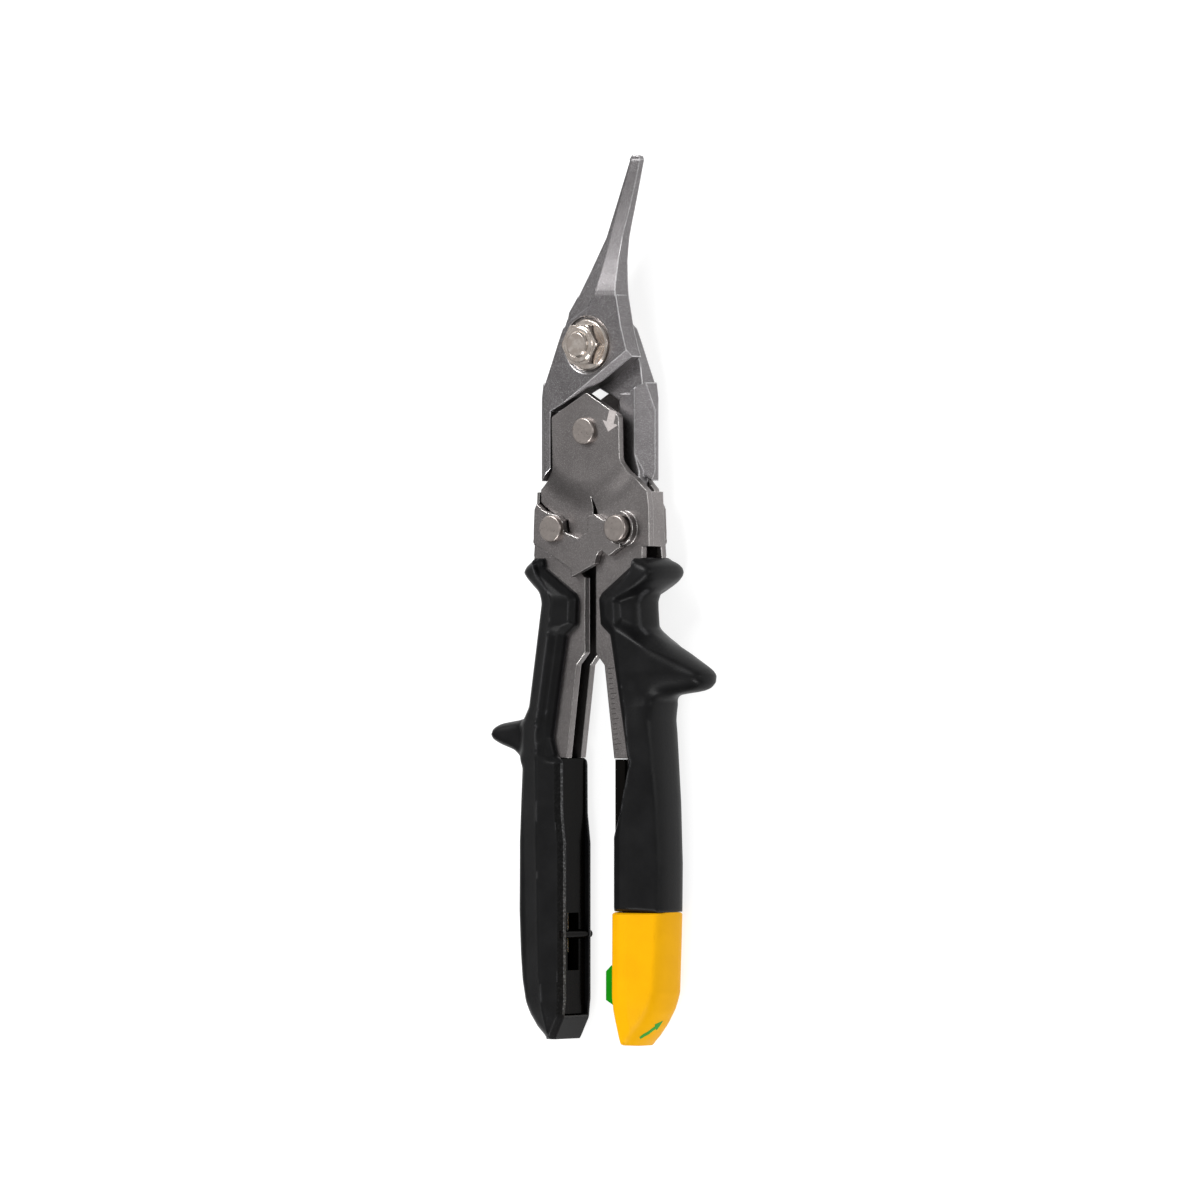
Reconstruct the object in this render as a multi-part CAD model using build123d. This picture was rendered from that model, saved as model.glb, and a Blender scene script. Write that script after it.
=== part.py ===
"""Right-cut compound-action aviation snips, 254 mm long, closed.

The tool lies on its back: +Z is its thickness, +Y runs to the blade tips and +X to the
right handle. Every part is modelled about the blades' contact plane and the pivot axis,
and is lifted by REST at export, so that z = 0 is the plane that the tool lies on.
"""
import math
import os

from build123d import *

# ---- driving dimensions (mm) ----
REST = 9.5              # contact plane of the blades above the resting plane
OVERALL = 254.0         # blade tips to the right handle's end
TANG_PIVOT_X = 11.9     # tang rivets, either side of the centre line
TANG_PIVOT_Y = -52.5
TOP_PIVOT_Y = -24.7     # rivet that joins the two handles
SHEET = 2.2             # handle steel
CHANNEL_IN = 2.2        # half the clear width of the handle channel
CHANNEL_OUT = CHANNEL_IN + SHEET
PLATE_IN = 4.6          # underside of the raised plates
PLATE_OUT = 6.7         # top of the raised plates
LEAF = 2.0              # half the thickness of a blade's tang
BLADE = 6.0             # thickness of one blade at the pivot
GRIP = 9.5              # half the thickness of a grip
RIVET_R = 2.75
RIVET_HEAD_R = 3.85
RUNNING = 0.05          # radial clearance of a running fit
SNUG = 0.02             # radial gap of a tight fit
OPEN_PIVOT = 0.28       # radial clearance of the pivot that opens the four-bar loop
BOLT_R = 4.0
THREAD_R = 3.75
COUNTERBORE_R = 8.15
COUNTERBORE = 1.2
FLANGE_R = 7.4
HEX_R = 6.4
CHANNEL_END = -174.0
CORE_TOP = -118.2
LATCH_PIVOT = (16.0, -166.5)
LATCH_REACH = 28.5
LATCH_OPEN = 80.0       # swing of the latch, degrees
LATCH_PIN_R = 1.5
CATCH_R = 1.1

TOP_PIVOT = (0, TOP_PIVOT_Y)
LEFT_PIVOT = (-TANG_PIVOT_X, TANG_PIVOT_Y)
RIGHT_PIVOT = (TANG_PIVOT_X, TANG_PIVOT_Y)
LINK = math.dist(TOP_PIVOT, RIGHT_PIVOT)


def slab(points, low, high, radius=0):
    """A flat piece between two heights, its corners rounded by one radius or a list."""
    if radius == 0:
        face = Polygon(*points, align=None)
    else:
        face = make_face(FilletPolyline(*points, radius=radius, close=True))
    return Pos(0, 0, low) * extrude(face, amount=high - low, dir=(0, 0, 1))


def disc(centre, radius, low, high):
    """An upright round bar."""
    bar = Cylinder(radius, high - low, align=(Align.CENTER, Align.CENTER, Align.MIN))
    return Pos(centre[0], centre[1], low) * bar


def hexagon(centre, radius, low, high):
    """A hexagonal bar with one corner towards +X."""
    return Pos(centre[0], centre[1], low) * extrude(RegularPolygon(radius, 6), amount=high - low)


def polar(centre, radius, degrees):
    """A point at an angle about a centre."""
    turn = math.radians(degrees)
    return (centre[0] + radius * math.cos(turn), centre[1] + radius * math.sin(turn))


def bearing(centre, point):
    """The angle of a point about a centre, in degrees."""
    return math.degrees(math.atan2(point[1] - centre[1], point[0] - centre[0]))


def swept_slot(centre, inner, outer, start, end, low, high):
    """A curved slot about a centre, between two radii and two angles."""
    ring = disc(centre, outer, low, high) - disc(centre, inner, low - 1, high + 1)
    reach = outer * 1.6
    fan = [centre] + [polar(centre, reach, start + (end - start) * i / 3) for i in range(4)]
    return ring & slab(fan, low, high)


def turned_over(shape):
    """The same part on the other side: half a turn about the long axis."""
    return shape.rotate(Axis.Y, 180)


# ---- blades ----
def jaw(stations):
    """A tapering jaw: each station is Y, cutting edge, top of the grind, outer edge, height."""
    sections = []
    for y, edge, grind, outer, height in stations:
        points = [(edge, 0), (outer, 0), (outer - 0.05 * height, height), (grind, height)]
        sections.append(Plane((0, y, 0), x_dir=(1, 0, 0), z_dir=(0, -1, 0)) * Polygon(*points, align=None))
    return loft(sections, ruled=True)


def blade_base():
    """Pivot body and tang of the blade whose tang is on the left, before its jaw and holes."""
    shared = [(14.9, -3.5), (4.1, -10.5), (-13.4, -18.9)]
    contact = [(10.4, 14.0), (12.1, 5.2), (14.1, -1.6)] + shared
    contact += [(-15.0, -18.0), (-15.6, -12.6), (-14.6, -5.6), (-12.4, 0.4), (-9.6, 5.0), (-6.4, 7.4),
                (0.4, 10.9), (2.3, 14.0)]
    face = [(10.4, 14.0), (12.1, 5.2), (14.1, -1.6)] + shared
    face += [(-15.9, -18.0), (-15.9, -12.6), (-13.0, -5.6), (-10.6, 0.4), (-8.8, 4.6), (-5.6, 7.6),
             (0.4, 10.9), (2.3, 14.0)]
    body = loft([Polygon(*contact, align=None), Pos(0, 0, BLADE) * Polygon(*face, align=None)], ruled=True)
    lower_edge = body.edges().filter_by_position(Axis.Z, BLADE - 0.1, BLADE + 0.1)
    lower_edge = lower_edge.sort_by_distance((9.7, -7.0, BLADE))[0]
    body = chamfer(lower_edge, 1.9)
    # the rim stands outside the handle plates, sloped behind and rounded in front
    section = [(-12.4, LEAF), (-13.4, LEAF), (-13.4, BLADE), (-15.4, BLADE), (-17.2, 5.1),
               (-18.0, 3.4), (-18.0, 2.5), (-14.0, -LEAF), (-12.4, -LEAF)]
    bar = Plane((0, -8, 0), x_dir=(1, 0, 0), z_dir=(0, -1, 0)) * Polygon(*section, align=None)
    bar = extrude(bar, amount=34)
    outline = slab([(-12.0, -13.6), (-12.0, -35.0), (-13.4, -35.3), (-17.3, -38.9), (-18.1, -36.0),
                    (-18.1, -19.0), (-16.2, -10.8)], -3, 7)
    leaf = slab([(-14.0, -14.5), (-8.6, -14.5), (-8.3, -40.0), (-6.4, -49.0), (-5.8, -53.5),
                 (-8.2, -57.6), (-12.0, -58.7), (-16.0, -57.2), (-17.6, -53.0), (-15.7, -42.0),
                 (-15.7, -36.0), (-14.0, -31.0)], -LEAF, LEAF,
                radius=[0.5, 1, 8, 4, 4, 4, 4, 4, 3, 6, 1, 1])
    joint = slab([(-13.8, -14.0), (-8.6, -14.0), (-10.2, -17.2), (-13.8, -18.7)], -LEAF, 1)
    return body + (bar & outline) + leaf + joint


def front_blade():
    """Upper blade: jaw on the right of the cut, tang on the left."""
    blade = blade_base() + jaw([(14.0, 0.9, 2.3, 10.4, BLADE), (15.4, 1.2, 2.7, 10.3, 5.85),
                                (17.2, 1.6, 3.1, 10.15, 5.5), (20.0, 2.3, 3.8, 10.05, 4.88),
                                (24.1, 3.4, 4.7, 10.0, 4.1), (27.4, 4.2, 5.4, 10.3, 3.6),
                                (30.7, 5.1, 6.1, 10.7, 3.2), (34.6, 6.2, 7.0, 11.6, 2.75),
                                (38.9, 7.4, 8.1, 12.7, 2.4), (45.0, 9.4, 10.1, 14.2, 2.1),
                                (52.6, 12.0, 12.6, 16.0, 1.9)])
    blade += slab([(12.0, 52.6), (16.0, 52.6), (15.6, 53.7), (13.2, 54.1)], 0, 1.8)
    blade -= disc((0, 0), BOLT_R + SNUG, -3, 8)
    blade -= disc((0, 0), COUNTERBORE_R, BLADE - COUNTERBORE, 8)
    return blade - disc(LEFT_PIVOT, RIVET_R + OPEN_PIVOT, -3, 3)


def back_blade():
    """Lower blade: jaw on the left of the cut, tang on the right."""
    blade = turned_over(blade_base())
    under = jaw([(2.0, -14.0, -13.2, 9.6, BLADE - 0.4), (7.2, -12.0, -11.0, 7.0, 5.0),
                 (20.9, -3.4, -2.6, 4.2, 3.7), (30.7, 2.4, 3.0, 6.6, 2.8),
                 (38.9, 5.6, 6.1, 8.7, 2.3), (52.6, 10.9, 11.3, 13.6, 1.9)])
    blade -= slab([(-14.0, 5.6), (-8.0, 14.0), (-8.0, 15.0), (-14.0, 15.0)], -7, 1)
    under += slab([(10.9, 52.6), (13.6, 52.6), (13.2, 54.1), (11.6, 53.4)], 0, 1.8)
    blade += mirror(under, Plane.XY)
    blade -= disc((0, 0), BOLT_R + RUNNING, -8, 3)
    blade -= disc((0, 0), COUNTERBORE_R, -8, COUNTERBORE - BLADE)
    return blade - disc(RIGHT_PIVOT, RIVET_R + RUNNING, -3, 3)


# ---- handle stamping ----
PLATEAU_R = 14.0        # the raised plate round the top rivet ends here
DISH_R = 23.3           # and has come down to the channel's level here
WEB_PATH = [(20.2, -42.0), (20.9, -57.5), (21.4, -61.5), (20.4, -66.5), (16.4, -72.0), (16.4, -77.0),
            (20.4, -104.0), (22.4, -117.5), (22.8, -145.0), (22.2, CHANNEL_END)]
EDGE_PATH = [(13.4, CHANNEL_END), (13.4, CORE_TOP + 0.1), (8.6, CORE_TOP + 0.1), (5.1, -91.5),
             (2.0, -88.0), (2.0, -60.2)]


def dished_plate():
    """Plate raised round the top rivet and dished down to the channel, before trimming."""
    middle = (PLATEAU_R + DISH_R) / 2
    level = (PLATE_OUT + CHANNEL_OUT) / 2
    under = (PLATE_IN + CHANNEL_IN) / 2
    top = Spline((PLATEAU_R, PLATE_OUT), (middle, level), (DISH_R, CHANNEL_OUT), tangents=((1, 0), (1, 0)))
    low = Spline((DISH_R - 0.4, CHANNEL_IN), (middle - 0.4, under), (PLATEAU_R - 0.4, PLATE_IN),
                 tangents=((-1, 0), (-1, 0)))
    outline = [Line((0, PLATE_OUT), top @ 0), top, Line(top @ 1, (46, CHANNEL_OUT)),
               Line((46, CHANNEL_OUT), (46, CHANNEL_IN)), Line((46, CHANNEL_IN), low @ 0), low,
               Line(low @ 1, (0, PLATE_IN)), Line((0, PLATE_IN), (0, PLATE_OUT))]
    half = Plane.XZ * make_face(outline)
    return Pos(0, TOP_PIVOT_Y, 0) * revolve(half, Axis.Z)


def long_plate():
    """The right handle's front plate, which reaches up to the top rivet."""
    outline = [(0.2, -13.7), (11.9, -20.4), (12.2, -33.0), (14.4, -36.6), (20.3, -41.8), (21.0, -46.0),
               (21.2, -62.0), (2.0, -62.0), (2.0, -59.6), (-2.5, -57.6), (-7.2, -56.6), (-8.0, -50.0),
               (-18.1, -50.0), (-18.0, -41.3), (-12.0, -35.5), (-12.4, -20.6)]
    corner_radii = [1, 1.5, 4, 6, 0.5, 0, 0, 0, 1, 2, 2, 0, 0, 0.8, 2, 1]
    plate = dished_plate() & slab(outline, 0, 8, radius=corner_radii)
    sweep_angle = bearing(TOP_PIVOT, LEFT_PIVOT)
    plate -= swept_slot(TOP_PIVOT, LINK - 3.3, LINK + 3.3, sweep_angle, sweep_angle - 50, 0, 8)
    plate -= disc(LEFT_PIVOT, 3.3, 0, 8)
    relief = slab([(1.0, -43.2), (2.9, -48.8), (0.9, -48.8)], 0, 8)
    return plate - relief


def collar():
    """Raised lip beside the right rivet, facing the other handle's plate."""
    ring = disc(RIGHT_PIVOT, 5.0, CHANNEL_OUT - 0.5, PLATE_OUT - 0.1)
    ring -= disc(RIGHT_PIVOT, 4.4, 0, 8)
    fan = [RIGHT_PIVOT] + [polar(RIGHT_PIVOT, 9, angle) for angle in (-76, -20, 35, 85)]
    return ring & slab(fan, 0, 8)


def ear():
    """The left handle's short front plate, raised over the right handle's long one."""
    start, end = (-18.6, -56.3), (-5.3, -64.1)
    plate = slab([(-13.2, -48.2), (-15.6, -47.2), (-17.8, -45.4), (-18.6, -47.0), (-18.9, -53.4),
                  (-18.9, -56.6), end, (-5.3, -66.4), (3.2, -62.5), (3.9, -60.2), (4.6, -59.3),
                  (5.8, -58.7), (6.7, -59.4), (8.3, -60.3), (12.4, -57.8), RIGHT_PIVOT, (10.2, -49.9),
                  (6.3, -50.1), (3.1, -48.4), (0.9, -48.9), (0.6, -53.4), (-2.5, -55.3),
                  (-8.1, -53.4), (-8.5, -50.4), (-10.2, -48.7)], PLATE_IN, PLATE_OUT)
    plate -= disc(TOP_PIVOT, DISH_R + 0.5, 0, 8)
    plate -= disc(RIGHT_PIVOT, 4.4, 0, 8)
    # the bend down to the channel runs square to the line from start to end
    along = Vector(*end) - Vector(*start)
    across = Vector(along.Y, -along.X).normalized()
    profile = [(-0.4, PLATE_OUT), (0.3, PLATE_OUT), (3.0, CHANNEL_OUT), (4.6, CHANNEL_OUT),
               (4.6, CHANNEL_IN), (2.5, CHANNEL_IN), (-0.2, PLATE_IN), (-0.4, PLATE_IN)]
    side = Plane((start[0], start[1], 0), x_dir=-across if across.Y > 0 else across, z_dir=-along)
    bend = extrude(side * Polygon(*profile, align=None), amount=-along.length - 1.5)
    bend &= slab([(-18.9, -54.0), (-19.4, -62.0), (-14.0, -66.0), (-5.3, -70.0), (-5.3, -60.0)], 0, 8)
    return plate + bend


def channel():
    """The right handle's folded channel below its plates, with its web on the outside."""
    outside = slab(WEB_PATH + EDGE_PATH + [(14.0, -60.2), (17.0, -42.0)], -CHANNEL_OUT, CHANNEL_OUT)
    outer_edges = [edge for edge in outside.edges() if edge.center().X > 16
                   and abs(edge.center().Z) > 4 and -42.5 > edge.center().Y > CHANNEL_END + 1]
    outside = fillet(outer_edges, 1.6)
    hollow = [(x - SHEET, y + (1 if y > -43 else 0)) for x, y in WEB_PATH]
    hollow[-1] = (hollow[-1][0], CHANNEL_END - 1)
    hollow += [(-2, CHANNEL_END - 1), (-2, -41)]
    shape = outside - slab(hollow, -CHANNEL_IN, CHANNEL_IN)
    # keep only the web where the plates take over
    shape -= slab([(10, -40), (18.4, -40), (19.6, -60.2), (10, -60.2)], -8, 8)
    return shape


def handle_frame():
    """Right handle: one pressing with a long plate in front and a short one behind."""
    frame = channel() + long_plate() + collar()
    behind = turned_over(ear())
    link_plate = slab([(18.0, -53.5), (20.0, -53.5), (20.6, -60.4), (19.4, -60.4)],
                      -CHANNEL_OUT, -CHANNEL_IN)
    frame += behind + link_plate
    frame += slab([(5.3, -65.2), (19.5, -57.0), (20.5, -61.5), (2.0, -66.8)], -CHANNEL_OUT, -CHANNEL_IN)
    frame -= slab([(-4, -60), (5.0, -60), (5.0, -64.0), (2.0, -66.6), (-4, -66.6)], -CHANNEL_OUT - 0.1, 0)
    frame -= slab([(18.6, -57.6), (24, -57.6), (24, -61.3), (18.6, -61.3)], -1.5, 8)
    frame -= disc(RIGHT_PIVOT, RIVET_R + SNUG, -9, 9)
    frame -= disc(LATCH_PIVOT, LATCH_PIN_R + SNUG, -9, 9)
    return frame


def right_handle_frame():
    """Right handle pressing, tight on the top rivet."""
    return handle_frame() - disc(TOP_PIVOT, RIVET_R + SNUG, -9, 9)


def left_handle_frame():
    """Left handle: the same pressing turned over, free on the top rivet."""
    return turned_over(handle_frame()) - disc(TOP_PIVOT, RIVET_R + RUNNING, -9, 9)


# ---- fasteners ----
def headed_pin(centre, head_low, head_top, tail_top, tail_low):
    """A rivet with a round edge on its front head; heads lie outside head_low and tail_top."""
    head = disc(centre, RIVET_HEAD_R, head_low, head_top)
    head = fillet(head.edges().sort_by(Axis.Z)[-1], 0.5)
    tail = disc(centre, RIVET_HEAD_R, tail_low, tail_top)
    return head + tail + disc(centre, RIVET_R, tail_low, head_low + 0.1)


def top_rivet():
    """Joins the two handles."""
    return headed_pin(TOP_PIVOT, PLATE_OUT, 8.3, -PLATE_OUT - RUNNING, -8.3)


def left_rivet():
    """Joins the front blade's tang to the left handle."""
    return headed_pin(LEFT_PIVOT, PLATE_OUT, 8.3, -CHANNEL_OUT, -8.9)


def right_rivet():
    """Joins the back blade's tang to the right handle, standing tall in its recess."""
    return headed_pin(RIGHT_PIVOT, CHANNEL_OUT, 8.9, -PLATE_OUT, -8.3)


def pivot_bolt():
    """Main pivot: hexagon flange head behind, thread in front."""
    head = hexagon((0, 0), HEX_R, -REST, -6.5)
    head += disc((0, 0), FLANGE_R, -6.6, COUNTERBORE - BLADE - RUNNING)
    shank = disc((0, 0), BOLT_R, -6.0, BLADE - COUNTERBORE - 0.1)
    thread = disc((0, 0), THREAD_R, 0, 11.3)
    thread = chamfer(thread.edges().sort_by(Axis.Z)[-1], 0.5)
    return head + shank + thread


def pivot_nut():
    """Flange lock nut with a raised collar round the thread."""
    floor = BLADE - COUNTERBORE
    skirt = Pos(0, 0, floor) * Cylinder(FLANGE_R, 1.7, align=(Align.CENTER, Align.CENTER, Align.MIN))
    skirt = chamfer(skirt.edges().sort_by(Axis.Z)[-1], 0.5)
    body = hexagon((0, 0), HEX_R, floor + 1, 10.0)
    rounding = Cone(HEX_R + 3.4, HEX_R - 0.6, 5.6, align=(Align.CENTER, Align.CENTER, Align.MIN))
    body &= Pos(0, 0, floor) * rounding
    ring = disc((0, 0), 5.2, 9.5, 10.6)
    ring = fillet(ring.edges().sort_by(Axis.Z)[-1], 0.5)
    return skirt + body + ring - disc((0, 0), THREAD_R + SNUG, 0, 12)


def top_spacer():
    """Tube that keeps the handle plates apart at the top rivet."""
    height = PLATE_IN - 0.1
    return disc(TOP_PIVOT, 4.2, -height, height) - disc(TOP_PIVOT, RIVET_R + RUNNING, -9, 9)


def pivot_washer(centre):
    """Thrust ring round a tang rivet, between the raised plate and the tang, in the swept slot."""
    ring = disc(centre, 3.2, LEAF + 0.08, PLATE_IN - 0.05)
    return ring - disc(centre, RIVET_R + SNUG, 0, 9)


def opening_spring():
    """Torsion spring round the top spacer, its legs against the tangs."""
    wire = 0.7
    coil_r = 5.2
    pitch = 1.6
    turns = 3.5
    height = pitch * turns
    path = Pos(0, 0, -height / 2) * Helix(pitch, height, coil_r)
    coil = sweep(Plane(path @ 0, z_dir=path % 0) * Circle(wire), path=path, is_frenet=True)
    spring = coil
    for end, side in ((path @ 0, 1), (path @ 1, -1)):
        run = Vector(side * 6.4, -19.5, side * -1.0) - end
        spring += extrude(Plane(end, z_dir=run) * Circle(wire), amount=run.length)
        spring += Pos(end.X, end.Y, end.Z) * Sphere(wire)
    return Pos(0, TOP_PIVOT_Y, 0) * spring


# ---- grips ----
LEFT_OUTER = [(-16.1, -63.4), (-20.0, -60.7), (-24.6, -64.6), (-22.4, -68.0), (-18.2, -71.4),
              (-17.4, -73.8), (-22.2, -104.6), (-25.2, -107.7), (-35.8, -109.6), (-37.6, -111.4),
              (-35.8, -113.2), (-25.6, -117.4), (-24.4, -121.2), (-26.1, -142.2), (-25.9, -171.3),
              (-24.2, -187.0), (-15.4, -198.8), (-11.6, -198.6)]
LEFT_INNER = [(-8.4, -192.5), (-8.0, -187.0), (-8.0, -120.0), (-8.6, CORE_TOP), (-11.6, -117.6),
              (-13.2, -112.4), (-10.3, -96.0), (-8.0, -83.0), (-4.2, -80.0), (-3.8, -72.6), (-5.0, -70.9)]
RIGHT_OUTER = [(19.3, -60.7), (23.2, -61.2), (25.8, -65.0), (24.3, -68.2), (19.7, -71.2),
               (18.4, -73.5), (19.3, -81.0), (22.4, -83.4), (38.6, -92.2), (39.8, -94.6),
               (37.8, -98.4), (31.7, -99.5), (26.3, -98.3), (23.8, -99.6), (24.0, -107.3),
               (26.1, -130.4), (27.0, -148.0)]
RIGHT_INNER = [(10.2, -161.6), (10.2, -140.4), (11.2, -134.6), (10.6, -118.2), (12.7, -107.0),
               (8.3, -83.0), (4.6, -80.0), (4.0, -72.6), (5.0, -70.9), (16.1, -63.0)]


def grip_pocket(side, top, end):
    """Space inside a grip for the steel channel and the core, on the side given."""
    web = [(x + 0.05, y) for x, y in WEB_PATH[2:]] + [(22.25, end)]
    cavity = slab([(side * x, y) for x, y in [(21.3, top)] + web + [(-2, end), (-2, top)]],
                  -CHANNEL_OUT - 0.05, CHANNEL_OUT + 0.05)
    mouth = slab([(side * 13.25, CORE_TOP), (side * 5, CORE_TOP), (side * 5, end), (side * 13.25, end)],
                 -5.5, 5.5)
    return cavity + mouth


def soften(shape, amount):
    """Breaks the long outer edges of a grip, front and back."""
    edges = [edge for edge in shape.edges() if abs(abs(edge.center().Z) - GRIP) < 0.01]
    return chamfer(edges, amount)


def left_grip():
    """Soft cover of the left handle, with a small horn and a finger stop."""
    cover = soften(slab(LEFT_OUTER + LEFT_INNER, -GRIP, GRIP), 0.9)
    cover -= grip_pocket(-1, -60, -191.5)
    thin = slab([(-40, -104.6), (-24.6, -104.6), (-25.0, -120), (-40, -120)], 3.5, GRIP + 1)
    cover -= thin + mirror(thin, Plane.XY)
    return cover - disc(catch_centre(), CATCH_R + SNUG, -9, 9)


def right_grip():
    """Soft cover of the right handle, with a large finger guard."""
    outline = RIGHT_OUTER + [(26.8, -161.6)] + RIGHT_INNER
    cover = soften(slab(outline, -GRIP, GRIP), 0.9)
    cover -= grip_pocket(1, -60, -162)
    thin = slab([(42, -80), (27.5, -86.0), (27.2, -101), (42, -101)], 4.5, GRIP + 1)
    return cover - thin - mirror(thin, Plane.XY)


def latch_slot():
    """Room in the right handle's end for the latch and its swing."""
    return slab([(5, -162), (20.4, -162), (20.4, -196), (5, -196)], -3.3, 3.3)


def end_cap():
    """Hard cap over the end of the right handle, which holds the latch."""
    cap = slab([(10.2, -161.6), (26.8, -161.6), (26.4, -171.3), (25.7, -184.8), (22.9, -193.0),
                (17.4, -199.4), (12.0, 54.1 - OVERALL), (10.2, -191.2)], -GRIP, GRIP)
    cap = soften(cap, 0.9)
    return cap - grip_pocket(1, -161, CHANNEL_END - 0.1) - latch_slot()


def core(end):
    """Hard liner of the right handle: closes the channel between the cover's lips."""
    stem = slab([(13.0, -119.6), (20.0, -119.6), (20.4, -145.0), (19.9, end), (13.0, end)], -2.15, 2.15)
    face = slab([(9.8, CORE_TOP - 0.1), (13.2, CORE_TOP - 0.1), (13.2, end), (9.8, end)], -5.45, 5.45)
    return stem + face


def right_core():
    """Liner of the right handle, which ends above the latch."""
    return core(-161.4)


def left_core():
    """Liner of the left handle, with a pocket that the latch's claw enters."""
    liner = turned_over(core(-173.8)) + slab([(-13.2, -173.8), (-9.8, -173.8), (-9.8, -191.4),
                                              (-13.2, -191.4)], -5.45, 5.45)
    liner -= disc(catch_centre(), CATCH_R + 0.3, -9, 9)
    return liner - slab([(-9, -162.5), (-13.6, -162.5), (-13.6, -179.0), (-9, -179.0)], -2.6, 2.6)


# ---- latch ----
def latch_point(along, ahead, swing=0.0):
    """A point on the latch: distance from its pin along it, and ahead of it, at a swing."""
    turn = math.radians(swing)
    x = LATCH_PIVOT[0] - along * math.sin(turn) - ahead * math.cos(turn)
    y = LATCH_PIVOT[1] - along * math.cos(turn) + ahead * math.sin(turn)
    return (x, y)


def catch_centre():
    """Where the latch's notch holds the catch pin, with the latch swung out."""
    return latch_point(25.4, 2.3, LATCH_OPEN)


def latch():
    """Swinging latch: a flat arm with a thumb tab and a hooked end."""
    arm = [(-3.0, -2.8), (-3.0, 2.8), (10.7, 2.8), (23.6, 2.4), (23.8, 0.8), (26.9, 0.8),
           (27.0, 3.2), (LATCH_REACH, 2.4), (LATCH_REACH, -2.8)]
    tab = [(10.7, 1.0), (10.7, 9.6), (12.4, 11.5), (20.6, 11.5), (22.7, 7.6), (23.3, 5.0), (23.6, 1.0)]
    shape = slab([latch_point(*point) for point in arm], -1.9, 1.9)
    shape += slab([latch_point(*point) for point in tab], -3.0, 3.0)
    return shape - disc(LATCH_PIVOT, LATCH_PIN_R + RUNNING, -9, 9)


def latch_pin():
    """Pin that the latch swings on, held in the steel channel."""
    return disc(LATCH_PIVOT, LATCH_PIN_R, -CHANNEL_OUT, CHANNEL_OUT)


def latch_catch():
    """Pin across the left handle's mouth for the latch to hook."""
    return disc(catch_centre(), CATCH_R, -7.2, 7.2)


PARTS = {
    "front_blade": front_blade,
    "back_blade": back_blade,
    "pivot_bolt": pivot_bolt,
    "pivot_nut": pivot_nut,
    "right_handle_frame": right_handle_frame,
    "left_handle_frame": left_handle_frame,
    "top_rivet": top_rivet,
    "left_rivet": left_rivet,
    "right_rivet": right_rivet,
    "top_spacer": top_spacer,
    "left_washer": lambda: pivot_washer(LEFT_PIVOT),
    "right_washer": lambda: turned_over(pivot_washer(LEFT_PIVOT)),
    "opening_spring": opening_spring,
    "left_grip": left_grip,
    "right_grip": right_grip,
    "right_end_cap": end_cap,
    "left_core": left_core,
    "right_core": right_core,
    "latch": latch,
    "latch_pin": latch_pin,
    "latch_catch": latch_catch,
}

os.makedirs("parts", exist_ok=True)
for node, build in PARTS.items():
    export_step(Pos(0, 0, REST) * build(), f"parts/{node}.step")
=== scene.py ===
"""The looks of the aviation snips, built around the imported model."""
import math

import bmesh
import bpy
import numpy as np
from mathutils import Matrix, Vector


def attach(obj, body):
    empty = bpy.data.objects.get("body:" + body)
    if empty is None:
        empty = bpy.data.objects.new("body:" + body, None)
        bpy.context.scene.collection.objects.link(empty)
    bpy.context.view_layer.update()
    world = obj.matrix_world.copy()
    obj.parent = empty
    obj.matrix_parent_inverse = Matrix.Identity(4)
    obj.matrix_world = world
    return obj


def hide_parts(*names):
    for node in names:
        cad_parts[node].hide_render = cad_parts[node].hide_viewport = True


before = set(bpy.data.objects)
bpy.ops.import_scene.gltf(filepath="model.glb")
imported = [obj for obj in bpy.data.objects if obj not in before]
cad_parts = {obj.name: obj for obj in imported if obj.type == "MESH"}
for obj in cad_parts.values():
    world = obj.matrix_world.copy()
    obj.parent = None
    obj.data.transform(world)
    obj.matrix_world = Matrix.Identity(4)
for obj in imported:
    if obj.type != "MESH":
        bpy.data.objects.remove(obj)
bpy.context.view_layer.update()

MM = 0.001
MID = 9.5               # height of the blades' contact plane above the floor, mm
FLANGE = 4.45           # half the clear height round the steel channel in the grips, mm
MOUTH = 5.5             # half the clear height between the grip's lips, mm
PLATE_TOP = 6.7         # front of the raised plates before the contact plane, mm
FLANGE_TOP = 4.4        # front of the steel channel's flanges before the contact plane, mm
MARK_LOW = 0.005        # a printed mark lies between these heights over its surface, mm
MARK_HIGH = 0.03


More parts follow.
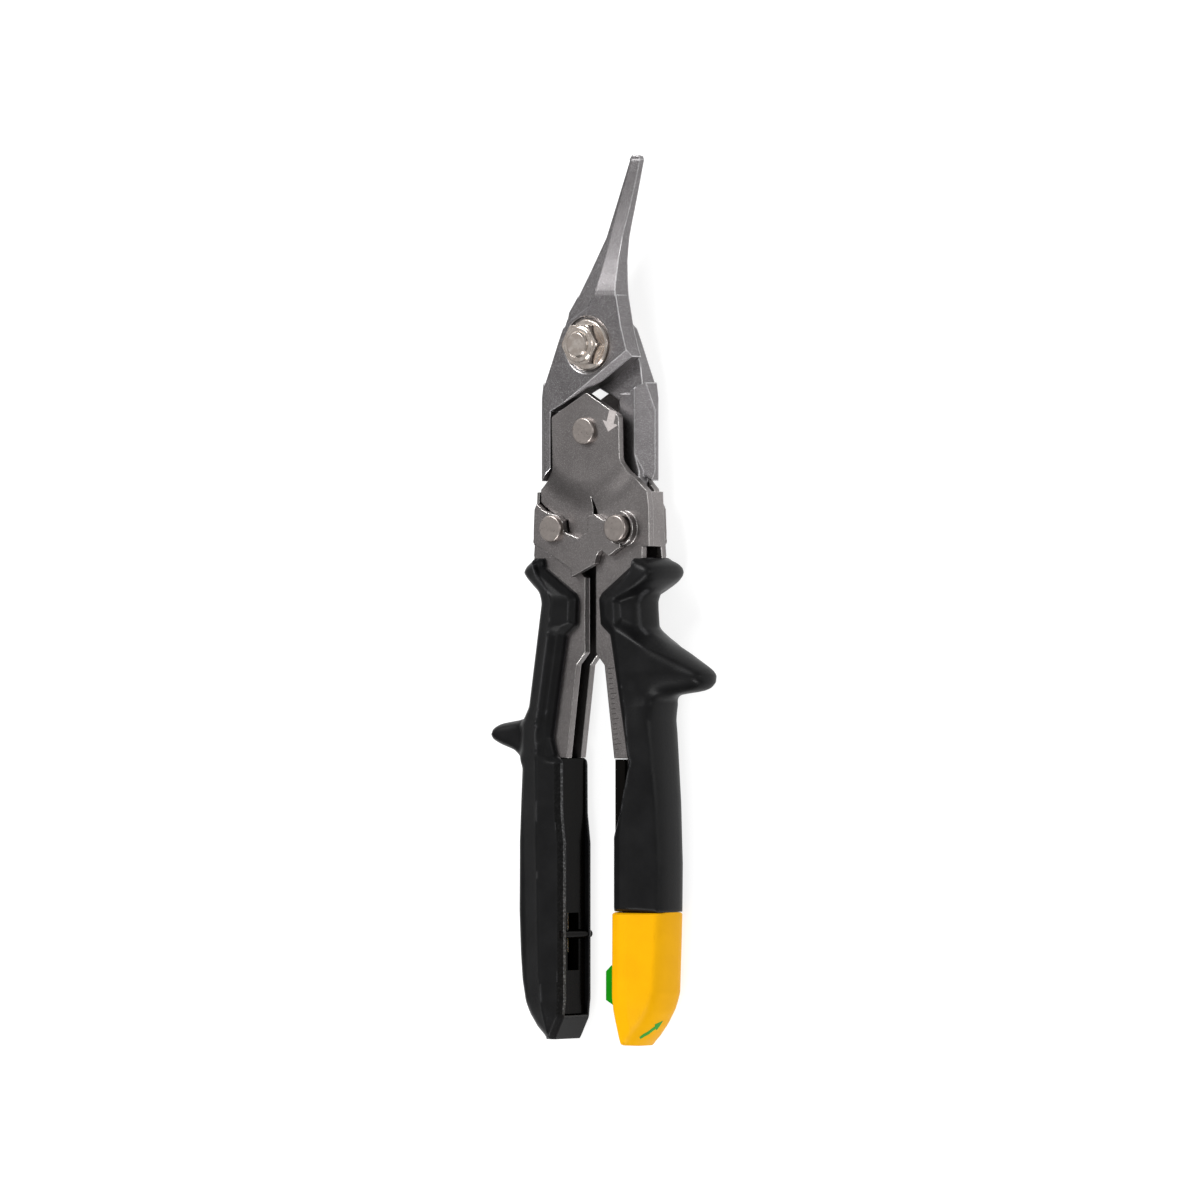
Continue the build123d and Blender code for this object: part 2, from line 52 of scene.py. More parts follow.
# ---- materials ----
class Nodes:
    """A short way to write a material's node tree."""

    def __init__(self, name):
        self.material = bpy.data.materials.new(name)
        self.material.use_nodes = True
        self.tree = self.material.node_tree
        self.shader = self.tree.nodes["Principled BSDF"]
        self.place = self.add("ShaderNodeTexCoord").outputs["Object"]

    def add(self, kind, **settings):
        node = self.tree.nodes.new(kind)
        for key, value in settings.items():
            setattr(node, key, value)
        return node

    def join(self, source, socket):
        if isinstance(source, (int, float, tuple)):
            socket.default_value = source
        else:
            self.tree.links.new(source, socket)

    def math(self, operation, first, second=0.0, clamp=False):
        node = self.add("ShaderNodeMath", operation=operation, use_clamp=clamp)
        self.join(first, node.inputs[0])
        self.join(second, node.inputs[1])
        return node.outputs[0]

    def noise(self, scale, detail=4.0, roughness=0.55, stretch=None):
        """Cloudy noise; scale is in features per metre."""
        place = self.place
        if stretch:
            mapping = self.add("ShaderNodeMapping")
            mapping.inputs["Scale"].default_value = stretch
            self.join(place, mapping.inputs["Vector"])
            place = mapping.outputs[0]
        node = self.add("ShaderNodeTexNoise")
        node.inputs["Scale"].default_value = scale
        node.inputs["Detail"].default_value = detail
        node.inputs["Roughness"].default_value = roughness
        self.join(place, node.inputs["Vector"])
        return node.outputs["Fac"]

    def spots(self, scale):
        """Pebbled cells, as on a textured mould."""
        node = self.add("ShaderNodeTexVoronoi", feature="SMOOTH_F1")
        node.inputs["Scale"].default_value = scale
        self.join(self.place, node.inputs["Vector"])
        return node.outputs["Distance"]

    def band(self, source, low, high, to_low=0.0, to_high=1.0):
        """Maps a range of a value to another range, clamped."""
        node = self.add("ShaderNodeMapRange")
        self.join(source, node.inputs["Value"])
        limits = {"From Min": low, "From Max": high, "To Min": to_low, "To Max": to_high}
        for socket, value in limits.items():
            node.inputs[socket].default_value = value
        return node.outputs[0]

    def mix(self, factor, first, second):
        node = self.add("ShaderNodeMix", data_type="RGBA")
        self.join(factor, node.inputs["Factor"])
        self.join(first, node.inputs["A"])
        self.join(second, node.inputs["B"])
        return node.outputs["Result"]

    def edges(self, radius, soft=0.988, sharp=0.84):
        """1 on edges sharper than a small rounding of that radius, 0 elsewhere."""
        bevel = self.add("ShaderNodeBevel", samples=6)
        bevel.inputs["Radius"].default_value = radius
        dot = self.add("ShaderNodeVectorMath", operation="DOT_PRODUCT")
        self.join(bevel.outputs[0], dot.inputs[0])
        self.join(self.add("ShaderNodeNewGeometry").outputs["Normal"], dot.inputs[1])
        return self.band(dot.outputs["Value"], soft, sharp), bevel.outputs[0]

    def bump(self, height, distance, strength=1.0, normal=None):
        node = self.add("ShaderNodeBump")
        node.inputs["Distance"].default_value = distance
        node.inputs["Strength"].default_value = strength
        self.join(height, node.inputs["Height"])
        if normal is not None:
            self.join(normal, node.inputs["Normal"])
        return node.outputs[0]

    def finish(self, **sockets):
        for name, value in sockets.items():
            self.join(value, self.shader.inputs[name.replace("_", " ")])
        return self.material


def steel(name, dark, light, edge, roughness, rounding=0.00035, grain=2600.0):
    """Satin bare steel: fine blasted grain, faint clouds, and edges painted brighter, partly as worn bright
    metal and partly as a painted highlight on the rounded edges.
    """
    n = Nodes(name)
    painted_highlight_and_wear, normal = n.edges(rounding)
    clouds = n.noise(60, 5, 0.6)
    fine = n.noise(grain, 3, 0.7)
    colour = n.mix(n.band(clouds, 0.35, 0.7), dark, light)
    speck = n.band(n.noise(5200, 2, 0.5), 0.52, 0.72, 0.0, 0.42)
    colour = n.mix(speck, colour, edge)
    # painted highlight along the rounded edges, partly worn bright metal: the edges are mixed toward the
    # pale edge colour
    colour = n.mix(n.math("MULTIPLY", painted_highlight_and_wear, n.band(n.noise(500), 0.2, 0.5, 0.55, 1.0)), colour, edge)
    rough = n.math("ADD", n.band(fine, 0.3, 0.7, roughness - 0.05, roughness + 0.07),
                   n.math("MULTIPLY", painted_highlight_and_wear, -0.12))
    grained = n.bump(fine, 0.00003, 0.45, normal)
    return n.finish(Base_Color=colour, Metallic=1.0, Roughness=rough, Normal=grained)


def turned_steel(name, centres):
    """Rivet heads: fine turning rings about each rivet's axis, and rounded rims painted bright as a painted
    highlight.
    """
    n = Nodes(name)
    painted_highlight_and_wear, normal = n.edges(0.0003)
    rings = None
    for x, y in centres:
        offset = n.add("ShaderNodeVectorMath", operation="SUBTRACT")
        n.join(n.place, offset.inputs[0])
        offset.inputs[1].default_value = (x * MM, y * MM, 0)
        flat = n.add("ShaderNodeVectorMath", operation="MULTIPLY")
        n.join(offset.outputs[0], flat.inputs[0])
        flat.inputs[1].default_value = (1, 1, 0)
        length = n.add("ShaderNodeVectorMath", operation="LENGTH")
        n.join(flat.outputs[0], length.inputs[0])
        radius = length.outputs["Value"]
        rings = radius if rings is None else n.math("MINIMUM", rings, radius)
    turning = n.math("SINE", n.math("MULTIPLY", rings, 2 * math.pi / 0.00042))
    blotch = n.noise(900, 5, 0.65)
    colour = n.mix(n.band(blotch, 0.3, 0.7), (0.33, 0.295, 0.275, 1), (0.42, 0.375, 0.35, 1))
    # painted highlight: the rounded rims are painted pale where light catches them
    colour = n.mix(painted_highlight_and_wear, colour, (0.80, 0.76, 0.72, 1))
    rough = n.band(n.noise(1500), 0.3, 0.7, 0.26, 0.42)
    relief = n.bump(turning, 0.00001, 0.4, n.bump(blotch, 0.00001, 0.3, normal))
    return n.finish(Base_Color=colour, Metallic=1.0, Roughness=rough, Normal=relief)


def bright_plate(name):
    """Bright zinc plating with a faint warm cast and small ripples."""
    n = Nodes(name)
    painted_highlight_and_wear, normal = n.edges(0.00025)
    colour = n.mix(n.band(n.noise(400, 4), 0.4, 0.65), (0.62, 0.54, 0.48, 1), (0.80, 0.73, 0.67, 1))
    # painted highlight: the edges are painted paler where light catches them
    colour = n.mix(painted_highlight_and_wear, colour, (0.80, 0.77, 0.73, 1))
    rough = n.band(n.noise(1200), 0.3, 0.7, 0.13, 0.26)
    ripples = n.bump(n.noise(700), 0.00005, 0.5, normal)
    return n.finish(Base_Color=colour, Metallic=1.0, Roughness=rough, Normal=ripples)


def soft_rubber(name):
    """Soft black moulding: pebbled grain, dusty clouds, satin sheen, and ridges painted paler as a painted
    highlight.
    """
    n = Nodes(name)
    pebble = n.spots(2300)
    fine = n.noise(4200, 3, 0.6)
    cloud = n.noise(110, 6, 0.6)
    ridge, _ = n.edges(0.0011, 0.996, 0.93)
    colour = n.mix(n.band(cloud, 0.3, 0.75), (0.0028, 0.0028, 0.0031, 1), (0.0060, 0.0060, 0.0064, 1))
    # painted highlight: the ridges are painted a paler grey where light catches them
    painted_highlight_and_wear = n.math("MULTIPLY", ridge, n.band(pebble, 0.1, 0.5, 0.6, 1.0))
    colour = n.mix(painted_highlight_and_wear, colour, (0.040, 0.040, 0.042, 1))
    rough = n.band(cloud, 0.3, 0.7, 0.36, 0.46)
    relief = n.bump(pebble, 0.00006, 0.35, n.bump(fine, 0.00003, 0.4))
    return n.finish(Base_Color=colour, Roughness=rough, Normal=relief, Specular_IOR_Level=0.16)


def pebbled_lip(name, high, low):
    """The rougher grain of the lip beside the liner, between two colours."""
    n = Nodes(name)
    pebble = n.spots(1500)
    colour = n.mix(n.band(pebble, 0.2, 0.5), high, low)
    relief = n.bump(pebble, 0.00016, 0.7, n.bump(n.noise(3600, 3), 0.00005, 0.5))
    return n.finish(Base_Color=colour, Roughness=n.band(pebble, 0.1, 0.5, 0.34, 0.55), Normal=relief,
                    Specular_IOR_Level=0.12)


def gloss_black(name):
    """Smooth black moulding with faint flow ripples."""
    n = Nodes(name)
    ripple = n.noise(220, 3, 0.5, stretch=(3.0, 0.35, 3.0))
    colour = n.mix(n.band(ripple, 0.3, 0.7), (0.0014, 0.0011, 0.0009, 1), (0.0028, 0.0022, 0.0018, 1))
    rough = n.band(n.noise(900), 0.3, 0.7, 0.16, 0.26)
    return n.finish(Base_Color=colour, Roughness=rough, Normal=n.bump(ripple, 0.0001, 0.25),
                    Specular_IOR_Level=0.06)


def moulded(name, low, high, roughness, grain):
    """Coloured moulding: fine spark-eroded grain and slight colour drift."""
    n = Nodes(name)
    painted_highlight_and_wear, normal = n.edges(0.0003)
    colour = n.mix(n.band(n.noise(90, 5), 0.3, 0.7), low, high)
    fine = n.noise(grain, 3, 0.6)
    rough = n.band(fine, 0.3, 0.7, roughness - 0.06, roughness + 0.08)
    return n.finish(Base_Color=colour, Roughness=rough, Normal=n.bump(fine, 0.00003, 0.5, normal),
                    Specular_IOR_Level=0.08)


def ink(name, colour):
    """Printed or etched mark, slightly patchy."""
    n = Nodes(name)
    paler = tuple(min(1.0, c * 1.25) for c in colour[:3]) + (1,)
    patch = n.band(n.noise(2500, 4), 0.35, 0.6)
    return n.finish(Base_Color=n.mix(patch, colour, paler), Roughness=n.band(patch, 0, 1, 0.5, 0.62))


# ---- mesh helpers ----
def new_piece(name, mesh_data, material, body):
    """A mesh object from vertices in mm about the pivot axis and the contact plane."""
    vertices, faces = mesh_data
    mesh = bpy.data.meshes.new(name)
    mesh.from_pydata([(x * MM, y * MM, (z + MID) * MM) for x, y, z in vertices], [], faces)
    mesh.validate()
    tidy = bmesh.new()
    tidy.from_mesh(mesh)
    bmesh.ops.remove_doubles(tidy, verts=tidy.verts, dist=0.000002)
    bmesh.ops.recalc_face_normals(tidy, faces=tidy.faces)
    tidy.to_mesh(mesh)
    tidy.free()
    mesh.materials.append(material)
    mesh.shade_smooth()
    mesh.set_sharp_from_angle(angle=math.radians(38))
    piece = bpy.data.objects.new(name, mesh)
    bpy.context.collection.objects.link(piece)
    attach(piece, body)
    return piece


def curve(points, soft=0.0):
    """A function of Y through control points (Y, value), optionally softened over a length."""
    ys, values = zip(*sorted(points))

    def value(y):
        if soft == 0:
            return float(np.interp(y, ys, values))
        spread = np.linspace(-soft, soft, 9)
        weights = 1 - (spread / (soft * 1.15)) ** 2
        return float(np.average(np.interp(y + spread, ys, values), weights=weights))
    return value


def smooth_step(value, low, high):
    """0 below low, 1 above high, smooth between."""
    t = np.clip((value - low) / (high - low), 0.0, 1.0)
    return t * t * (3 - 2 * t)


def hump(value, start, top, end):
    """Rises smoothly from start to top and falls to end."""
    return smooth_step(value, start, top) * (1 - smooth_step(value, top, end))


def past_line(x, y, start, end):
    """Distance of a point to the right of a line from start to end, mm."""
    dx, dy = end[0] - start[0], end[1] - start[1]
    return ((x - start[0]) * dy - (y - start[1]) * dx) / math.hypot(dx, dy)


def distance_to(x, y, line):
    """Shortest distance from one point to a polyline given as an array of points."""
    start, end = line[:-1], line[1:]
    along = end - start
    point = np.array([x, y])
    t = np.clip(((point - start) * along).sum(1) / (along ** 2).sum(1), 0, 1)
    return float(np.sqrt(((start + along * t[:, None] - point) ** 2).sum(1)).min())


def edge_line(edge, top, bottom):
    """A grip's edge as a fine polyline."""
    heights = np.linspace(top, bottom, 420)
    return np.array([(edge(y), y) for y in heights])


def cover_mesh(side, grip, top, bottom, step=0.42, end_round=1.3):
    """A closed U-shaped moulding down a handle, the same in front and behind.

    grip holds its edges as functions of Y, the mouth and depth of its channel, and the height
    of its front at a point, given the distances to the inner and outer edges."""
    inner_line = edge_line(grip["inner"], top, bottom)
    outer_line = edge_line(grip["outer"], top, bottom)
    across = np.linspace(0, 1, 40)
    across = 0.35 * across + 0.65 * (1 - np.cos(math.pi * across)) / 2
    rows = []
    ends = np.array([0, 0.12, 0.35, 0.7])
    ys = np.concatenate([top - ends, np.arange(top - 1.2, bottom + 1.2, -step), bottom + ends[::-1]])
    for y in ys:
        inner, outer, mouth = grip["inner"](y), grip["outer"](y), grip["mouth"](y)
        xs = inner + (outer - inner) * across
        heights = [grip["height"](x, y, distance_to(x, y, inner_line), distance_to(x, y, outer_line))
                   for x in xs]
        to_end = min(top - y, y - bottom)
        pull = 1.0 if to_end > end_round else math.sqrt(1 - (1 - max(to_end, 0.0) / end_round) ** 2)
        front = [(inner, mouth)] + [(x, min(z, mouth + max(z - mouth, 0) * (0.25 + 0.75 * pull)))
                                    for x, z in zip(xs, heights)]
        front[-1] = (outer, 0.0)
        loop = front + [(x, -z) for x, z in reversed(front[:-1])]
        depth = max(min(grip["depth"](y), outer - 1.3), inner + 0.01)
        loop += [(depth, -mouth), (depth, mouth)]
        rows.append([(side * x, y, z) for x, z in loop])
    count = len(rows[0])
    faces = []
    for r in range(len(rows) - 1):
        for c in range(count):
            d = (c + 1) % count
            faces.append((r * count + c, r * count + d, (r + 1) * count + d, (r + 1) * count + c))
    last = (len(rows) - 1) * count
    faces.append(tuple(range(count)))
    faces.append(tuple(last + c for c in reversed(range(count))))
    return [point for row in rows for point in row], faces


# ---- grips ----
def lip_rise(inward, width, crest):
    """Height beside the mouth: a slanted lip, then up to the crest line."""
    return float(np.interp(inward, [0, 0.25, 1.9, width], [5.7, 6.2, 8.0, crest]))


def rounded(height, inward, radius):
    """Rounds a surface down to the outline over a radius."""
    t = min(inward / radius, 1.0)
    return height * (1 - (1 - t) ** 2.6) ** (1 / 2.2)


LEFT_OUTER = curve([(-60.9, 19.6), (-62.4, 22.6), (-64.6, 24.6), (-66.2, 24.0), (-68.0, 22.4),
                    (-71.4, 18.3), (-73.8, 17.6), (-103.0, 22.0), (-106.2, 24.2), (-107.5, 28.4),
                    (-108.2, 34.4), (-109.5, 37.0), (-111.6, 38.0), (-113.4, 37.0), (-114.7, 34.2),
                    (-116.3, 29.2), (-118.4, 26.2), (-121.2, 24.9), (-142.2, 26.2), (-162.0, 26.4),
                    (-174.0, 25.9), (-182.0, 25.2), (-188.0, 24.0), (-192.5, 22.2), (-196.0, 19.8),
                    (-198.8, 16.4)], 0.5)
LEFT_INNER = curve([(-60.9, 16.4), (-63.4, 16.0), (-70.9, 5.0), (-72.6, 4.0), (-80.0, 4.3),
                    (-83.0, 8.1), (-96.0, 10.4), (-112.4, 13.2), (-117.6, 11.7), (-118.6, 9.4),
                    (-120.0, 9.1), (-134.0, 9.0), (-142.5, 8.0), (-187.0, 8.0), (-192.5, 8.6),
                    (-198.8, 11.8)], 0.35)
RIGHT_OUTER = curve([(-60.9, 21.0), (-61.6, 23.4), (-63.0, 25.2), (-65.0, 25.8), (-66.8, 25.2),
                     (-68.4, 23.6), (-71.2, 19.8), (-73.5, 18.6), (-80.6, 19.2), (-82.4, 21.0),
                     (-84.6, 24.6), (-91.0, 36.6), (-92.4, 38.8), (-94.0, 40.0), (-96.6, 40.1),
                     (-98.2, 38.8), (-99.1, 36.0), (-99.5, 31.0), (-100.2, 27.0), (-101.5, 24.7),
                     (-107.3, 24.0), (-130.4, 26.1), (-148.0, 26.9), (-161.6, 26.7)], 0.5)
RIGHT_INNER = curve([(-60.9, 16.4), (-63.2, 15.8), (-70.9, 5.2), (-72.6, 4.2), (-80.0, 4.8),
                     (-83.0, 8.3), (-107.0, 12.6), (-117.6, 14.4), (-118.8, 15.0), (-126.0, 13.4),
                     (-134.6, 11.3), (-140.4, 9.6), (-161.6, 9.6)], 0.4)
CAP_OUTER = curve([(-161.6, 26.7), (-171.3, 26.3), (-184.8, 25.6), (-190.0, 24.2), (-194.5, 21.8),
                   (-198.0, 18.9), (-199.9, 16.6)], 0.8)
CAP_INNER = curve([(-161.6, 9.8), (-186.0, 9.7), (-190.0, 10.2), (-192.5, 10.8), (-199.9, 12.8)], 0.5)


def mouth_height(y):
    """Half the clear height of the channel: steel above, liner below."""
    return FLANGE + (MOUTH - FLANGE) * smooth_step(-y, 117.6, 118.6)


LEFT_RIDGE = curve([(-60.9, 18.2), (-66.0, 16.2), (-71.5, 10.8), (-74.0, 10.3), (-109.0, 16.0),
                    (-142.0, 15.8), (-180.0, 14.8), (-190.0, 13.8), (-198.8, 13.2)], 1.0)


def left_height(x, y, inward, outward):
    """Front of the left grip: slanted lip, crisp ridge line, then falling to the outside."""
    ridge = LEFT_RIDGE(y)
    crest = 9.4 - 0.5 * smooth_step(y, -74, -62) - 2.2 * smooth_step(-y, 188, 199.5)
    if x < ridge:
        lip = LEFT_INNER(y) + 1.9
        climb = np.clip((x - lip) / max(ridge - lip, 0.3), 0, 1)
        height = min(lip_rise(inward, 4.0, 9.4), 7.6 + (crest - 7.6) * float(climb))
    else:
        height = crest - float(np.interp(x - ridge, [0, 1.2, 6.8, 30], [0, 0.5, 2.5, 5.4]))
    # the finger stop is thinner than the grip
    stop = smooth_step(x, 22.4, 26.2) * smooth_step(-y, 103.5, 107.0) * smooth_step(y, -120.0, -115.0)
    height -= max(height - 4.6, 0) * float(stop)
    return rounded(height, outward, 3.2 + 0.6 * float(smooth_step(-y, 120, 150)))


def right_height(x, y, inward, outward):
    """Front of the right grip: raised border, thumb hollow, finger guard, faceted body."""
    width = float(np.interp(-y, [60, 66, 72, 84, 104, 130, 142], [1.6, 2.8, 4.6, 4.2, 3.6, 2.6, 4.8]))
    crest = 9.4 - 0.3 * smooth_step(y, -70, -62)
    height = lip_rise(inward, width, crest)
    if inward > width:
        height = crest - 0.05 * (inward - width)
    # the body falls from its middle to an outer corner, then steeply to the side
    facet = 0.36 * max(x - 16.4, 0) * float(smooth_step(-y, 100, 112))
    height = min(height, crest - facet)
    # hollow between the horn, the border and the guard
    below_horn = -past_line(x, y, (28.0, -66.0), (11.6, -72.6))
    beside_border = x - float(np.interp(-y, [72, 84, 90], [11.6, 12.6, 14.6]))
    above_guard = past_line(x, y, (34.0, -91.5), (11.0, -80.6))
    sunk = smooth_step(below_horn, -0.4, 1.3) * smooth_step(beside_border, -0.3, 0.9)
    sunk *= smooth_step(above_guard, -0.4, 3.4)
    sunk *= 1 - 0.75 * smooth_step(x, 23.0, 31.0)
    height -= float(sunk) * (1.9 + 0.26 * min(max(x - 12, 0), 11))
    # the guard thins to its tip, and the body under it is waisted
    tip = float(smooth_step(x, 20.0, 38.0) * smooth_step(-y, 81.0, 86.0) * smooth_step(y, -103.0, -100.0))
    height -= tip * 2.6
    waist = float(hump(-y, 93.0, 100.2, 112.0) * smooth_step(x, 12.8, 19.5))
    height -= waist * 1.7
    guard = float(smooth_step(x, 21.5, 25.0) * smooth_step(-y, 82.0, 86.0) * smooth_step(y, -101.0, -99.0))
    lower = float(smooth_step(-y, 104, 112))
    return rounded(height, outward, 3.6 + 0.9 * guard - 1.0 * lower)


def cap_height(x, y, inward, outward):
    """Front of the end cap: the body's facets, drawn in to the tool's end."""
    taper = float(smooth_step(-y, 184.0, 200.5))
    crest = 9.4 - 2.4 * taper
    height = min(crest, float(np.interp(inward, [0, 0.25, 1.2, 4.0], [6.4, 7.2, 8.3, 9.4])))
    height = min(height, crest - 0.36 * max(x - 16.4, 0))
    return rounded(height, outward, 2.6 + 2.4 * taper)


LEFT_GRIP = {"inner": LEFT_INNER, "outer": LEFT_OUTER, "mouth": mouth_height, "height": left_height,
             "depth": lambda y: 20.0 if y > -191.5 else 0.0}
RIGHT_GRIP = {"inner": RIGHT_INNER, "outer": RIGHT_OUTER, "mouth": mouth_height, "height": right_height,
              "depth": lambda y: 20.0}
END_CAP = {"inner": CAP_INNER, "outer": CAP_OUTER, "mouth": lambda y: 3.3, "height": cap_height,
           "depth": lambda y: 20.4 if y > -196.0 else 0.0}


# ---- printed marks ----
def prism(outline, low, high, start=0):
    """Vertices and faces of a thin upright prism over a convex or simple outline."""
    count = len(outline)
    vertices = [(x, y, low) for x, y in outline] + [(x, y, high) for x, y in outline]
    faces = [tuple(start + i for i in reversed(range(count))),
             tuple(start + count + i for i in range(count))]
    faces += [(start + i, start + (i + 1) % count, start + count + (i + 1) % count, start + count + i)
              for i in range(count)]
    return vertices, faces


def arrow(tip, tail, width, head):
    """Outline of a plain arrow, from its tail to its tip."""
    along = Vector(tip) - Vector(tail)
    length = along.length
    along.normalize()
    across = Vector((-along.y, along.x))
    shape = [(0, -width / 2), (length - head, -width / 2), (length - head, -width * 1.1), (length, 0),
             (length - head, width * 1.1), (length - head, width / 2), (0, width / 2)]
    return [tuple(Vector(tail) + along * a + across * b) for a, b in shape]


def cap_side(y, z, lift):
    """The point on the cap's outer side at a height, lifted off the surface."""
    near, far = CAP_OUTER(y) - 4.0, CAP_OUTER(y)
    line = edge_line(CAP_OUTER, -185.0, -199.9)
    for _ in range(18):
        middle = (near + far) / 2
        if cap_height(middle, y, 9.0, distance_to(middle, y, line)) > abs(z):
            near = middle
        else:
            far = middle
    return (near + lift, y, z + 0.6 * lift)


def cap_arrow():
    """A small bent arrow wrapped on the cap's outer corner, as a thin closed shell."""
    # Y, height and half width down its middle, from the tail to the tip
    stations = [(-197.6, 4.5, 0.45), (-196.8, 4.0, 0.55), (-196.1, 3.1, 0.6), (-195.3, 2.6, 0.6),
                (-194.6, 1.9, 0.6), (-194.5, 1.8, 1.3), (-193.7, 1.0, 0.75), (-192.7, 0.0, 0.06)]
    fine = np.linspace(0, len(stations) - 1, 36)
    middle = [[float(np.interp(t, range(len(stations)), [s[k] for s in stations])) for k in range(3)]
              for t in fine]
    along = Vector((stations[-1][0] - stations[0][0], stations[-1][1] - stations[0][1])).normalized()
    across = Vector((-along.y, along.x))
    columns = 7
    rows = [[(y + across.x * half * u, z + across.y * half * u) for u in np.linspace(-1, 1, columns)]
            for y, z, half in middle]
    outer = [cap_side(float(y), float(z), 0.05) for row in rows for y, z in row]
    inner = [cap_side(float(y), float(z), -0.05) for row in rows for y, z in row]
    count = len(outer)
    faces = []
    for r in range(len(rows) - 1):
        for c in range(columns - 1):
            corner = r * columns + c
            face = (corner, corner + 1, corner + columns + 1, corner + columns)
            faces += [face, tuple(count + i for i in reversed(face))]
    rim = list(range(columns)) + [r * columns + columns - 1 for r in range(1, len(rows))]
    rim += [(len(rows) - 1) * columns + c for c in range(columns - 2, -1, -1)]
    rim += [r * columns for r in range(len(rows) - 2, 0, -1)]
    faces += [(i, j, count + j, count + i) for i, j in zip(rim, rim[1:] + rim[:1])]
    return outer + inner, faces


def scale_marks(low, high):
    """Evenly spaced ticks along the right flange's inner edge."""
    start, end = Vector((6.3, -92.5)), Vector((8.9, -115.5))
    along = (end - start).normalized()
    across = Vector((-along.y, along.x))
    vertices, faces = [], []
    count = 17
    for i in range(count):
        middle = start + (end - start) * i / (count - 1)
        length = 2.3 if i % 5 == 0 else 1.4
        corners = [middle - along * 0.12, middle + along * 0.12, middle + along * 0.12 + across * length,
                   middle - along * 0.12 + across * length]
        more, sides = prism([tuple(c) for c in corners], low, high, len(vertices))
        vertices += more
        faces += sides
    return vertices, faces


# ---- the scene ----
def set_stage():
    """Pale floor and soft light."""
    size = 1.6
    corners = [(-size, -size, 0), (size, -size, 0), (size, size, 0), (-size, size, 0)]
    mesh = bpy.data.meshes.new("floor")
    mesh.from_pydata(corners, [], [(0, 1, 2, 3)])
    floor = bpy.data.objects.new("floor", mesh)
    floor.location.z = -0.0002
    bpy.context.collection.objects.link(floor)
    n = Nodes("floor_paper")
    mesh.materials.append(n.finish(Base_Color=(0.30, 0.30, 0.30, 1), Roughness=0.9,
                                   Emission_Color=(1, 1, 1, 1), Emission_Strength=0.84))
    n.shader.inputs["Specular IOR Level"].default_value = 0.1
    world = bpy.data.worlds.new("studio")
    world.use_nodes = True
    bpy.context.scene.world = world
    tree = world.node_tree
    background = tree.nodes["Background"]
    background.inputs["Color"].default_value = (1, 1, 1, 1)
    place = tree.nodes.new("ShaderNodeTexCoord")
    split = tree.nodes.new("ShaderNodeSeparateXYZ")
    level = tree.nodes.new("ShaderNodeMapRange")
    tree.links.new(place.outputs["Generated"], split.inputs[0])
    tree.links.new(split.outputs["Z"], level.inputs["Value"])
    for socket, value in (("From Min", 0.05), ("From Max", 0.8), ("To Min", 0.06), ("To Max", 0.50)):
        level.inputs[socket].default_value = value
    tree.links.new(level.outputs[0], background.inputs["Strength"])
    add_light("key", (-0.45, 0.75, 0.95), 0.60, 16.5)
    add_light("side", (1.15, 0.15, 0.40), 0.45, 3.0)
    add_light("lower", (0.2, -1.1, 0.9), 0.5, 9.0)


def add_light(name, place, size, power):
    """A square soft light aimed at the middle of the tool."""
    light = bpy.data.lights.new(name, "AREA")
    light.size = size
    light.energy = power
    lamp = bpy.data.objects.new(name, light)
    lamp.location = place
    aim = Vector((0, -0.07, 0.01)) - Vector(place)
    lamp.rotation_mode = "QUATERNION"
    lamp.rotation_quaternion = aim.to_track_quat("-Z", "Y")
    bpy.context.collection.objects.link(lamp)


def set_camera():
    """Long lens, turned 38 degrees towards the right handle's side, tool upright in the picture."""
    turn = math.radians(38)
    distance = 3.0
    view_width = 0.3432
    target = Vector((0, -0.0729, MID * MM))
    back = Vector((math.sin(turn), 0, math.cos(turn)))
    data = bpy.data.cameras.new("camera")
    data.sensor_width = 36
    data.lens = 36 * distance / view_width
    data.clip_start, data.clip_end = 0.05, 20
    camera = bpy.data.objects.new("camera", data)
    camera.location = target + back * distance
    right = Vector((math.cos(turn), 0, -math.sin(turn)))
    up = Vector((0, 1, 0))
    camera.rotation_mode = "QUATERNION"
    camera.rotation_quaternion = Matrix((right, up, back)).transposed().to_quaternion()
    bpy.context.collection.objects.link(camera)
    bpy.context.scene.camera = camera


def dress(node, material):
    """Gives a kept CAD node its material."""
    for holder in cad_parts[node].material_slots:
        holder.material = material


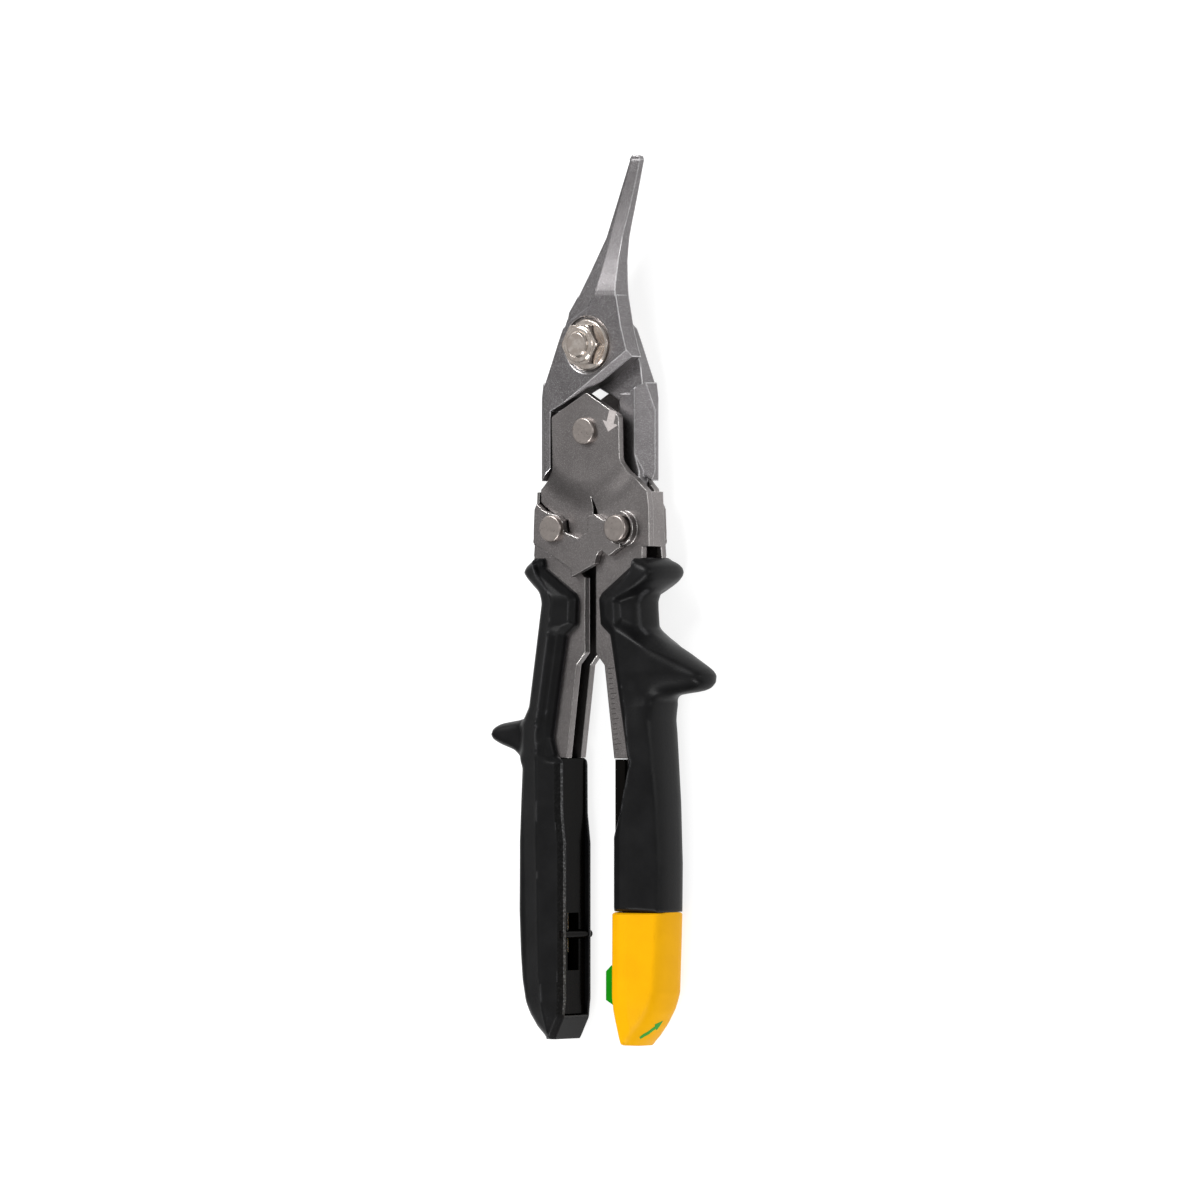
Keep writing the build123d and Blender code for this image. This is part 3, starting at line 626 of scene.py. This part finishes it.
def main():
    set_camera()
    set_stage()
    bpy.context.scene.view_settings.view_transform = "Standard"
    blade = steel("blade_forged", (0.130, 0.122, 0.124, 1), (0.180, 0.170, 0.174, 1), (0.78, 0.77, 0.78, 1),
                  0.40, 0.0007)
    sheet = steel("handle_sheet", (0.160, 0.147, 0.146, 1), (0.215, 0.199, 0.196, 1), (0.70, 0.68, 0.66, 1),
                  0.38, 0.0004)
    rivets = turned_steel("rivet_ends", [(0, -24.7), (-11.9, -52.5), (11.9, -52.5)])
    plating = bright_plate("plating")
    rubber = soft_rubber("soft_cover")
    liner = gloss_black("liner")
    yellow = moulded("yellow_cap", (0.76, 0.365, 0.0004, 1), (0.82, 0.405, 0.0006, 1), 0.42, 2600)
    green = moulded("green_latch", (0.003, 0.17, 0.002, 1), (0.006, 0.24, 0.003, 1), 0.32, 2200)
    blackened = gloss_black("blackened_pin")
    for node in ("front_blade", "back_blade"):
        dress(node, blade)
    for node in ("right_handle_frame", "left_handle_frame"):
        dress(node, sheet)
    for node in ("top_rivet", "left_rivet", "right_rivet", "top_spacer", "left_washer", "right_washer",
                 "opening_spring", "latch_pin"):
        dress(node, rivets)
    dress("latch_catch", blackened)
    for node in ("pivot_bolt", "pivot_nut"):
        dress(node, plating)
    for node in ("left_core", "right_core"):
        dress(node, liner)
    dress("latch", green)

    left = new_piece("left_cover", cover_mesh(-1, LEFT_GRIP, -60.9, -198.7), rubber,
                     "left_handle")
    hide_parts("left_grip")
    left.data.materials.append(pebbled_lip("lip_grain", (0.006, 0.006, 0.006, 1), (0.002, 0.002, 0.002, 1)))
    # painted highlight: the faces along the lip's very edge get a pale grey grain material where light
    # catches them
    left.data.materials.append(pebbled_lip("lip_edge_highlight", (0.14, 0.14, 0.145, 1), (0.05, 0.05, 0.05, 1)))
    for face in left.data.polygons:
        x, y, z = face.center / MM
        inward = -x - LEFT_INNER(y)
        if inward < 1.75 and abs(z - MID) > MOUTH + 0.1 and -191.5 < y < -119.5:
            # the faces nearest the edge take the painted highlight material, the rest of the lip the dark
            # grain
            face.material_index = 2 if inward < 0.4 else 1
    right = new_piece("right_cover", cover_mesh(1, RIGHT_GRIP, -60.9, -161.65), rubber,
                      "right_handle")
    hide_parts("right_grip")
    cap = new_piece("yellow_end", cover_mesh(1, END_CAP, -161.75, -199.9, end_round=0.7), yellow,
                    "right_handle")
    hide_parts("right_end_cap")

    pale = ink("pale_ink", (0.36, 0.33, 0.32, 1))
    mark = prism(arrow((8.2, -24.9), (9.9, -18.9), 2.6, 2.7), PLATE_TOP + MARK_LOW, PLATE_TOP + MARK_HIGH)
    new_piece("plate_arrow", mark, pale, "right_handle")
    dark = ink("dark_ink", (0.03, 0.027, 0.025, 1))
    ticks = scale_marks(FLANGE_TOP + MARK_LOW, FLANGE_TOP + MARK_HIGH)
    new_piece("flange_scale", ticks, dark, "right_handle")
    green_ink = ink("green_ink", (0.008, 0.24, 0.006, 1))
    new_piece("cap_arrow", cap_arrow(), green_ink, "right_handle")


main()
